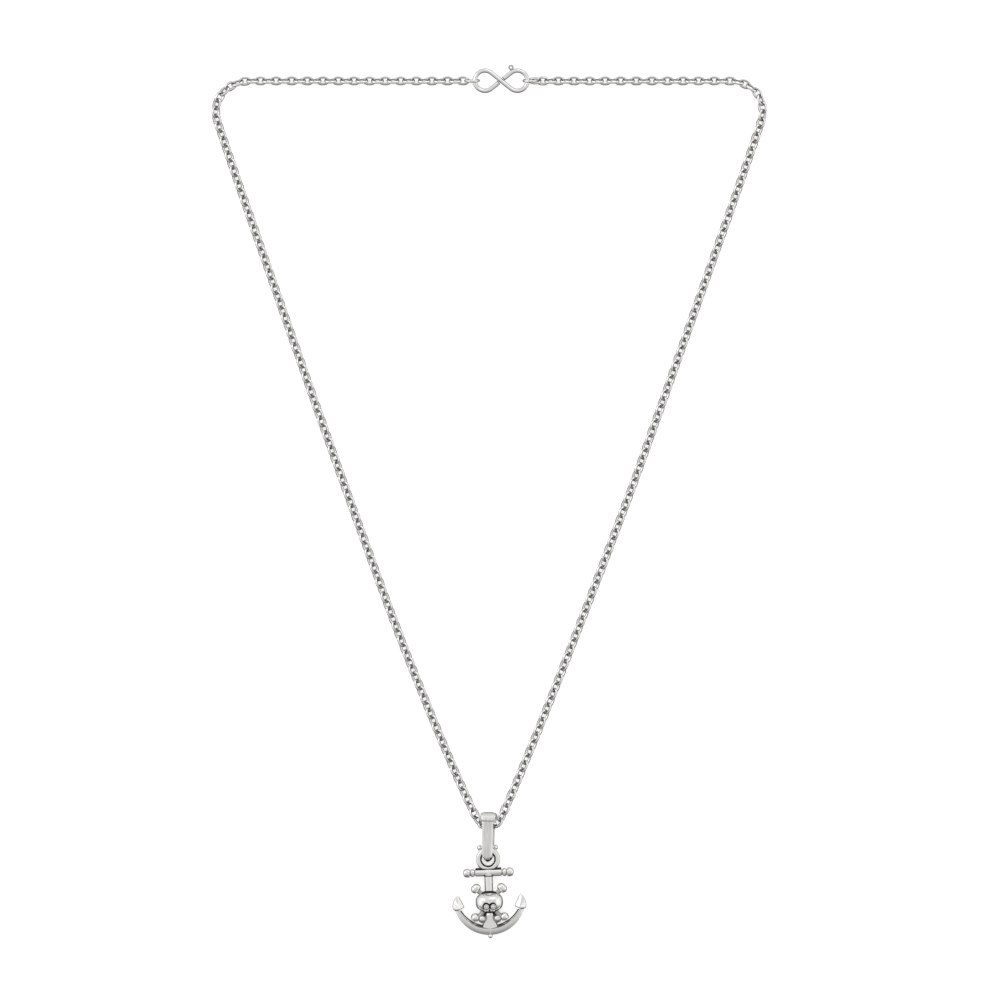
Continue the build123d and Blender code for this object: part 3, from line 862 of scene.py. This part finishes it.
def oval(half_sizes, middle, sides, rings, squareness=None, back=None):
    """Model an oval form, squared up as seen from the front and cut flat behind if asked to."""
    bm = bmesh.new()
    bmesh.ops.create_uvsphere(bm, u_segments=sides, v_segments=rings, radius=1.0)
    for vert in bm.verts if squareness else ():
        beside = hypot(vert.co.x, vert.co.y)
        if beside < MERGE:
            continue
        shares = (abs(vert.co.x) / beside, abs(vert.co.y) / beside)
        size = sum(share**squareness for share in shares) ** (1 / squareness)
        vert.co.x /= size
        vert.co.y /= size
    bmesh.ops.scale(bm, vec=half_sizes, verts=bm.verts)
    bmesh.ops.translate(bm, vec=middle, verts=bm.verts)
    if back is not None:
        trim(bm, (0, 0, back), (0, 0, -1))
    return to_mesh(bm)


def rod(radius, start, end, sides, round_by=0.0):
    """Model a straight bar between two points, with an edge to the front if it has few sides."""
    bm = bmesh.new()
    run = Vector(end) - Vector(start)
    push(bm, add_ring(bm, radius, sides, start, run), run)
    close_up(bm)
    if round_by:
        soften(bm, sharp_edges(bm), round_by)
    return to_mesh(bm)


def block(size, centre, round_by=0.0):
    """Model a box."""
    bm = bmesh.new()
    bmesh.ops.create_cube(bm, size=1.0, matrix=Matrix.Translation(centre) @ Matrix.Diagonal((*size, 1.0)))
    if round_by:
        soften(bm, bm.edges[:], round_by, 4)
    return to_mesh(bm)


def anchor_sizes(context):
    """Return the anchor's sizes, with the places of its stock and its crown along the shank."""
    a = sizes_of(context, "necklace_anchor")
    a.stock_y = a.stock_sink - a.eye_radius - a.stock_radius
    a.ridge_drop = a.arm_drop - a.arm_width + a.arm_inset
    a.crown_y = a.crown_height - a.ridge_drop
    return a


def anchor_place(a):
    """Return the place of the anchor, whose eye lies on the bail and whose arms lie on the table."""
    tilt = asin((a.eye_level - a.arm_ridge) / a.ridge_drop)
    spot = Matrix.Translation((a.eye_x, a.eye_y, a.eye_level))
    return spot @ Matrix.Rotation(a.lean, 4, "Z") @ Matrix.Rotation(tilt, 4, "X")


def eye_ring(a):
    """Model the anchor's eye, rounded outside and chamfered round its hole."""
    bm = bmesh.new()
    half = a.eye_thickness / 2
    outline = [
        (a.eye_hole + a.eye_chamfer, half),
        (a.eye_radius, half),
        (a.eye_radius, -half),
        (a.eye_hole + a.eye_chamfer, -half),
        (a.eye_hole, a.eye_chamfer - half),
        (a.eye_hole, half - a.eye_chamfer),
    ]
    lathe(bm, outline, (0, 0, 0), (0, 0, 1), (1, 0, 0), 72)
    rim = [e for e in sharp_edges(bm, 60.0) if e.verts[0].co.length > a.eye_radius]
    soften(bm, rim, a.eye_round, 4)
    soften(bm, sharp_edges(bm, 30.0), a.edge_round, 2)
    return to_mesh(bm)


def stock_bar(a):
    """Model the stock's eight-sided bar, with black painted shade along its top."""
    half = a.stock_bar / 2
    mesh = rod(a.bar_radius, (-half, a.stock_y, 0), (half, a.stock_y, 0), 8, a.edge_round)
    for face in mesh.polygons:
        face.material_index = int(face.normal.y > a.bar_facing)
    return mesh


def stock_end(a, side):
    """Model one end of the stock: groove, collar, groove and a rounded cap."""
    groove = a.stock_radius - a.groove_depth
    bar = a.stock_bar / 2
    collar = bar + a.groove_width
    collar_end = collar + a.collar_width
    cap = collar_end + a.groove_width
    profile = [(0, bar - a.groove_width), (groove, bar - a.groove_width), (groove, collar)]
    profile += [(r * a.stock_radius, collar + x * a.collar_width) for r, x in COLLAR_OUTLINE]
    profile += [(groove, collar_end), (groove, cap)]
    profile += [(r * a.cap_share * a.stock_radius, cap + x * a.cap_length) for r, x in CAP_OUTLINE]
    bm = bmesh.new()
    lathe(bm, profile, (0, a.stock_y, 0), (side, 0, 0), (0, 0, 1), 32, closed=False)
    # Painted shade in the grooves
    for face in bm.faces:
        middle = face.calc_center_median()
        in_groove = hypot(middle.y - a.stock_y, middle.z) < groove + MERGE and abs(middle.x) < cap
        face.material_index = 2 * in_groove
    return to_mesh(bm)


def corners(a):
    """Model dark blocks of painted shade in the corners between the stock and the eye above it and the shank below
    it.
    """
    # Each one's length, width, depth and place, which follow the forms that it lies between
    rows = (
        (a.corner_length, 2 * a.corner_width, 1.4 * a.bar_radius, a.bar_radius),
        (a.corner_length, a.corner_width, 1.1 * a.eye_thickness, 0.94 * a.bar_radius),
        (2.1 * a.shank_radius, a.corner_width, 2.04 * a.shank_radius, -0.97 * a.bar_radius),
    )
    return [block(size, (0, a.stock_y + y, 0)) for *size, y in rows]


def crown(a):
    """Model the crown: the shank spreads to a ridged foot over the arms."""
    bm = bmesh.new()
    section = add_ring(bm, a.shank_radius, 8, (0, a.crown_y, 0), (0, -1, 0))
    push(bm, section, (0, -a.crown_height, 0), 8)
    for vert in bm.verts:
        share = max(0.0, (a.crown_y - vert.co.y) / a.crown_height)
        vert.co.x *= 1 + (a.crown_half / a.shank_radius - 1) * share
        vert.co.z *= 1 + (a.crown_depth / a.shank_radius - 1) * share
    close_up(bm)
    soften(bm, sharp_edges(bm), a.edge_round)
    return to_mesh(bm)


def arms(a):
    """Model both arms as one crescent, ridged on its front and back."""
    bm = bmesh.new()
    centre = Vector((0, a.arm_outer - a.arm_drop, 0))
    shift = a.arm_inner + a.arm_width - a.arm_outer
    ridge = a.arm_width - a.arm_inset
    slope = (a.arm_ridge - a.arm_edge) / ridge
    front = [(0.0, a.arm_edge), (ridge, a.arm_ridge), (a.arm_width, a.arm_edge)]
    outline = front + [(inset, -level) for inset, level in reversed(front)]
    section = add_outline(bm, [(0, inset - a.arm_drop, level) for inset, level in outline])
    bmesh.ops.rotate(bm, cent=centre, matrix=Matrix.Rotation(-a.arm_sweep, 3, "Z"), verts=bm.verts)
    turn(bm, section, centre, (0, 0, 1), 2 * a.arm_sweep, 64)
    # The arms grow narrower and thinner towards their ends
    for vert in bm.verts:
        level = vert.co.z
        arm = Vector((vert.co.x, vert.co.y - centre.y, 0))
        depth = a.arm_outer - arm.length
        if depth < MERGE:
            continue
        outward = arm.normalized()
        drawn_in = shift * outward.y
        inner = drawn_in + sqrt(drawn_in**2 + a.arm_inner**2 - shift**2)
        if depth > a.arm_width - MERGE:
            reach = inner + (a.wall_lean if level > 0 else 0.0)
        else:
            ridge_depth = (a.arm_outer - inner) * ridge / a.arm_width
            reach = a.arm_outer - ridge_depth
            level = copysign(a.arm_edge + slope * ridge_depth, level)
        vert.co = centre + outward * reach + Vector((0, 0, level))
    close_up(bm)
    trim(bm, (0, a.arm_rise - a.arm_drop, 0), (0, 1, 0))
    soften(bm, sharp_edges(bm, 20.0), a.edge_round)
    # Black painted shade on the inner wall, partly also oxidised silver, and grey painted shade on the inner faces
    # near the middle
    for face in bm.faces:
        middle = face.calc_center_median()
        faces_in = Vector((centre.x - middle.x, centre.y - middle.y, 0)).normalized().dot(face.normal)
        in_corner = abs(middle.x) < a.corner_reach and faces_in > a.corner_facing
        face.material_index = 1 if faces_in > a.wall_facing else 2 * in_corner
    return to_mesh(bm)


def fluke(a, side):
    """Model one fluke, a ridged arrowhead."""
    bm = bmesh.new()
    outer = sqrt(a.arm_outer**2 - (a.arm_rise - a.arm_outer) ** 2)
    inner = sqrt(a.arm_inner**2 - (a.arm_rise - a.arm_width - a.arm_inner) ** 2)
    foot_x = (outer + inner) / 2 - a.fluke_inset
    foot_y = a.arm_rise - a.arm_drop - a.fluke_drop
    points = [
        (side * (foot_x + x * a.fluke_width), foot_y + y * a.fluke_height, -a.fluke_edge)
        for x, y in FLUKE_OUTLINE
    ]
    push(bm, add_outline(bm, points), (0, 0, 2 * a.fluke_edge))
    close_up(bm)
    tips, feet = (
        [v for v in bm.verts if (v.co.xy - Vector(points[place][:2])).length < MERGE]
        for place in (FLUKE_TIP, FLUKE_FOOT)
    )
    # A ridge runs from the foot to the tip on both sides
    for tip in tips:
        foot = next(v for v in feet if v.co.z * tip.co.z > 0)
        bmesh.ops.connect_vert_pair(bm, verts=[tip, foot])
    for foot in feet:
        foot.co.z = a.fluke_ridge if foot.co.z > 0 else -a.arm_ridge
    bmesh.ops.triangulate(bm, faces=[f for f in bm.faces if len(f.verts) > 4])
    bmesh.ops.recalc_face_normals(bm, faces=bm.faces)
    ends = tips + feet
    ridges = [
        e for e in bm.edges
        if e.verts[0] in ends and e.verts[1] in ends and (e.verts[0] in tips) != (e.verts[1] in tips)
    ]
    soften(bm, [e for e in sharp_edges(bm, 30.0) if e not in ridges], a.fluke_round, 3)
    # The fluke's steep sides get grey painted shade
    for face in bm.faces:
        face.material_index = 2 * (abs(face.normal.z) < a.fluke_facing)
    return to_mesh(bm)


def bones(a, s):
    """Model the two crossed bones, each with two knobs at either end."""
    meshes = []
    middle = Vector((0, -s.drop, a.bone_rise))
    for side in (-1, 1):
        upper = a.bone_reach * Vector((side * cos(a.bone_angle), sin(a.bone_angle), 0))
        across = a.knob_spread * Vector((-side * sin(a.bone_angle), cos(a.bone_angle), 0))
        lower = Vector((side * a.foot_across, -a.foot_below, 0))
        beside = a.foot_spread * Vector((side * cos(a.foot_slope), sin(a.foot_slope), 0))
        for end, apart, radius in ((upper, across, a.knob_radius), (lower, beside, a.foot_knob)):
            # The shafts get grey painted shade
            meshes += marked([rod(a.bone_radius, middle, middle + end, 20)], 2)
            outer, inner = (ball(radius, middle + end + way * apart) for way in (1, -1))
            # The lower inner knobs get grey painted shade on their lower faces and stay bright on top
            if end == lower:
                for face in inner.polygons:
                    face.material_index = 2 * (face.normal.z < a.knob_polish)
            meshes += [outer, inner]
    return meshes


def skull(s, below):
    """Model the cranium, the jaw, and the dark recess behind and web below them, which are black painted shade."""
    middle = (0, -s.drop, s.rise)
    jaw_y = s.jaw_height / 2 - s.drop - s.half_height
    recess = (
        s.recess_width_share * s.half_width, s.half_height + s.recess_rim,
        s.recess_depth_share * s.half_depth,
    )
    web = (s.web_half, s.web_half_height, s.web_depth)
    return [
        oval((s.half_width, s.half_height, s.half_depth), middle, 64, 40, s.squareness, s.back),
        block((s.jaw_width, s.jaw_height, s.jaw_depth), (0, jaw_y, s.jaw_depth / 2), s.jaw_round),
    ] + marked([
        oval(recess, middle, 48, 24, s.squareness, s.back),
        oval(web, (0, s.web_rise - s.drop - below, 0), 48, 24),
    ])


def sockets(s):
    """Model the cutters for the eye sockets, which flare to a rim; the faces they cut are painted black as shade.
    """
    front = s.rise + s.half_depth
    floor = front - s.socket_depth
    above = front + 1
    profile = [
        (0, floor),
        (s.socket_radius, floor),
        (s.socket_radius, front - s.rim_height),
        (s.rim_radius, front - s.rim_share * s.rim_height),
        (s.rim_radius, above),
        (0, above),
    ]
    cutters = []
    for side in (-1, 1):
        bm = bmesh.new()
        centre = (side * s.socket_spacing / 2, -s.drop - s.socket_drop, 0)
        lathe(bm, profile, centre, (0, 0, 1), (1, 0, 0), 40, closed=False)
        cutters.append(to_mesh(bm))
    return cutters


def nose_and_teeth(s):
    """Model the cutters for the nose and for the grooves between the teeth."""
    bm = bmesh.new()
    top = s.nose_height / 2 - s.drop - s.nose_drop
    floor = s.rise + s.half_depth - s.nose_depth
    points = [
        (0, top, floor),
        (-s.nose_width / 2, top - s.nose_height, floor),
        (s.nose_width / 2, top - s.nose_height, floor),
    ]
    push(bm, add_outline(bm, points), (0, 0, s.nose_depth))
    close_up(bm)
    cutters = [to_mesh(bm)]
    groove = (s.tooth_groove, s.tooth_height, 2 * s.tooth_groove)
    centre_y = s.tooth_height / 2 - s.drop - s.half_height
    for place in range(s.teeth):
        x = (place - (s.teeth - 1) / 2) * s.jaw_width / (s.teeth + 1)
        cutters.append(block(groove, (x, centre_y, s.jaw_depth)))
    return cutters


class NECKLACE_OT_anchor(bpy.types.Operator):
    """Make the anchor as one casting, with the skull and the crossed bones on it"""

    bl_idname = "necklace.anchor"
    bl_label = "Anchor"

    def execute(self, context):
        a = anchor_sizes(context)
        s = sizes_of(context, "necklace_skull")
        shank_end = a.crown_y - a.edge_round
        parts = [
            rod(a.shank_radius, (0, a.stock_y, 0), (0, shank_end, 0), 8, a.edge_round),
            stock_bar(a),
            stock_end(a, -1),
            stock_end(a, 1),
            eye_ring(a),
            crown(a),
            arms(a),
            fluke(a, -1),
            fluke(a, 1),
            ball(a.ball_radius, (0, -a.arm_drop - a.ball_drop, 0)),
        ]
        reach = a.eye_radius + a.bead_radius - a.bead_sink
        for lean in (-a.bead_angle, a.bead_angle):
            parts.append(ball(a.bead_radius, (reach * sin(lean), reach * cos(lean), 0)))
        # The corner blocks, and the recess and web at the skull, are black painted shade
        parts += bones(a, s) + skull(s, a.foot_below) + marked(corners(a))
        # The faces cut by the sockets, nose and teeth get black painted shade
        bm = fuse("anchor_casting", parts, marked(sockets(s) + nose_and_teeth(s)))
        piece = add_piece("anchor_casting", bm, anchor_place(a), [CAST, BLACK, GREY], "anchor")
        # The large faces look flat, and only the narrow ones beside them look round
        piece.modifiers.new("flat_faces", "WEIGHTED_NORMAL").keep_sharp = True
        return {"FINISHED"}


class NECKLACE_OT_eye_stones(bpy.types.Operator):
    """Make the two cut stones in the skull's sockets"""

    bl_idname = "necklace.eye_stones"
    bl_label = "Eye stones"

    def execute(self, context):
        sizes = sizes_of(context, "necklace_stones")
        turned = anchor_place(anchor_sizes(context)).to_3x3().to_4x4()
        girdle = sizes.pavilion + sizes.girdle
        height = girdle + sizes.crown
        # The stone's corners: how many, share of its radius, level, and turn as a share of a corner
        rings = [
            (8, 0.56, height, 0.0),
            (8, 0.8, girdle + 0.62 * sizes.crown, 0.5),
            (16, 1.0, girdle, 0.0),
            (16, 1.0, sizes.pavilion, 0.0),
            (8, 0.5, 0.5 * sizes.pavilion, 0.5),
            (1, 0.0, 0.0, 0.0),
        ]
        for side in ("left", "right"):
            low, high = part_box(f"eye_stone_{side}")
            bm = bmesh.new()
            for number, share, level, shift in rings:
                radius = share * sizes.radius
                for corner in range(number):
                    way = 2 * pi * (corner + shift) / number
                    bm.verts.new((radius * cos(way), radius * sin(way), level - height / 2))
            bmesh.ops.convex_hull(bm, input=bm.verts[:])
            bmesh.ops.dissolve_limit(bm, angle_limit=radians(1), verts=bm.verts[:], edges=bm.edges[:])
            bmesh.ops.recalc_face_normals(bm, faces=bm.faces)
            place = Matrix.Translation((low + high) / 2 / MM) @ turned
            add_piece(f"brilliant_{side}", bm, place, [GEM], f"eye_stone_{side}", 1.0)
        return {"FINISHED"}


class NECKLACE_OT_stage(bpy.types.Operator):
    """Make the table, the walls' light, the soft lamps and the camera"""

    bl_idname = "necklace.stage"
    bl_label = "Table, light and camera"

    def execute(self, context):
        studio = context.scene.necklace_studio
        bm = bmesh.new()
        bmesh.ops.create_grid(bm, x_segments=1, y_segments=1, size=studio.table_size / 2)
        mesh = to_mesh(bm, "table")
        mesh.materials.append(finished(SHEET))
        table = bpy.data.objects.new("table", mesh)
        context.scene.collection.objects.link(table)
        # The metal reflects the walls' darker foot and not the glowing sheet, which gives it its outlines
        table.visible_glossy = False
        self.make_sky(context, studio)
        self.make_lamps(context, studio)
        self.make_camera(context, studio)
        return {"FINISHED"}

    def make_sky(self, context, studio):
        """Light from the walls: pale overhead, white at a slant, dark along the foot of the walls."""
        world = bpy.data.worlds.new("studio_walls")
        world.use_nodes = True
        tree = world.node_tree
        tree.nodes.clear()
        way = add_node(tree, "ShaderNodeTexCoord").outputs["Generated"]
        split = add_node(tree, "ShaderNodeSeparateXYZ", {"Vector": way})
        span = {"Value": split.outputs["Z"], "From Min": -1.0, "From Max": 1.0}
        height = add_node(tree, "ShaderNodeMapRange", span)
        level = add_node(tree, "ShaderNodeVectorMath", {0: way, 1: (1.0, 1.0, 0.0)}, operation="MULTIPLY")
        round_way = add_node(tree, "ShaderNodeVectorMath", {0: level.outputs[0]}, operation="NORMALIZE")
        turned = add_node(tree, "ShaderNodeSeparateXYZ", {"Vector": round_way.outputs[0]})
        north = {0: turned.outputs["Y"], 1: 0.0}
        behind = add_node(tree, "ShaderNodeMath", north, operation="GREATER_THAN").outputs[0]
        # The side walls' share is the fourth power of the way's part across
        beside = turned.outputs["X"]
        for _ in range(2):
            both = {0: beside, 1: beside}
            beside = add_node(tree, "ShaderNodeMath", both, operation="MULTIPLY").outputs[0]
        walls = []
        for stops in (FRONT_LIGHT, BACK_LIGHT, SIDE_LIGHT):
            wall = add_node(tree, "ShaderNodeValToRGB", {"Fac": height.outputs["Result"]})
            ramp = wall.color_ramp
            for place, _ in stops[1:-1]:
                ramp.elements.new(place)
            for element, (place, value) in zip(ramp.elements, stops):
                element.position = place
                element.color = (value, value, value, 1.0)
            walls.append(wall.outputs["Color"])
        light = walls[0]
        for share, wall in ((behind, walls[1]), (beside, walls[2])):
            mixed = {0: share, 6: light, 7: wall}
            light = add_node(tree, "ShaderNodeMix", mixed, data_type="RGBA").outputs[2]
        sky = add_node(tree, "ShaderNodeBackground", {"Color": light, "Strength": studio.sky})
        add_node(tree, "ShaderNodeOutputWorld", {"Surface": sky.outputs["Background"]})
        context.scene.world = world

    def make_lamps(self, context, studio):
        """Two soft lamps, from the left and from behind the hook."""
        for name, place, size, share in LAMPS:
            lamp = bpy.data.lights.new(name, "AREA")
            lamp.energy = studio.lamp * share
            lamp.size = size
            holder = bpy.data.objects.new(name, lamp)
            holder.location = place
            holder.rotation_euler = (-Vector(place)).to_track_quat("-Z", "Y").to_euler()
            context.scene.collection.objects.link(holder)

    def make_camera(self, context, studio):
        """The camera looks straight down, as the photograph does."""
        camera = bpy.data.cameras.new("camera")
        camera.lens = camera.sensor_width * studio.camera_height / studio.view_width
        camera.clip_start = 0.01
        camera.clip_end = 50.0
        holder = bpy.data.objects.new("camera", camera)
        holder.location = (studio.camera_x, studio.camera_y, studio.camera_height)
        context.scene.collection.objects.link(holder)
        context.scene.camera = holder
        context.scene.view_settings.view_transform = "Standard"


class NECKLACE_PT_parts(bpy.types.Panel):
    """Lists the necklace's pieces and their sizes"""

    bl_label = "Anchor necklace"
    bl_idname = "NECKLACE_PT_parts"
    bl_space_type = "VIEW_3D"
    bl_region_type = "UI"
    bl_category = "Necklace"

    def draw(self, context):
        for operator in OPERATORS:
            self.layout.operator(operator.bl_idname)
        for name in GROUPS:
            box = self.layout.box()
            group = getattr(context.scene, name)
            for item in type(group).__annotations__:
                box.prop(group, item)


OPERATORS = (
    NECKLACE_OT_chain,
    NECKLACE_OT_end_rings,
    NECKLACE_OT_hook,
    NECKLACE_OT_bail,
    NECKLACE_OT_anchor,
    NECKLACE_OT_eye_stones,
    NECKLACE_OT_stage,
)


def register():
    """Register the groups, the operators and the panel."""
    for name, group in GROUPS.items():
        bpy.utils.register_class(group)
        setattr(bpy.types.Scene, name, PointerProperty(type=group))
    for operator in OPERATORS:
        bpy.utils.register_class(operator)
    bpy.utils.register_class(NECKLACE_PT_parts)


def unregister():
    """Take everything back that register added."""
    bpy.utils.unregister_class(NECKLACE_PT_parts)
    for operator in reversed(OPERATORS):
        bpy.utils.unregister_class(operator)
    for name, group in reversed(GROUPS.items()):
        delattr(bpy.types.Scene, name)
        bpy.utils.unregister_class(group)


def main():
    """Register the add-on and make the table, lights, camera and all pieces."""
    register()
    bpy.ops.necklace.stage()
    bpy.ops.necklace.chain()
    bpy.ops.necklace.end_rings()
    bpy.ops.necklace.hook()
    bpy.ops.necklace.bail()
    bpy.ops.necklace.anchor()
    bpy.ops.necklace.eye_stones()


if __name__ == "__main__":
    main()
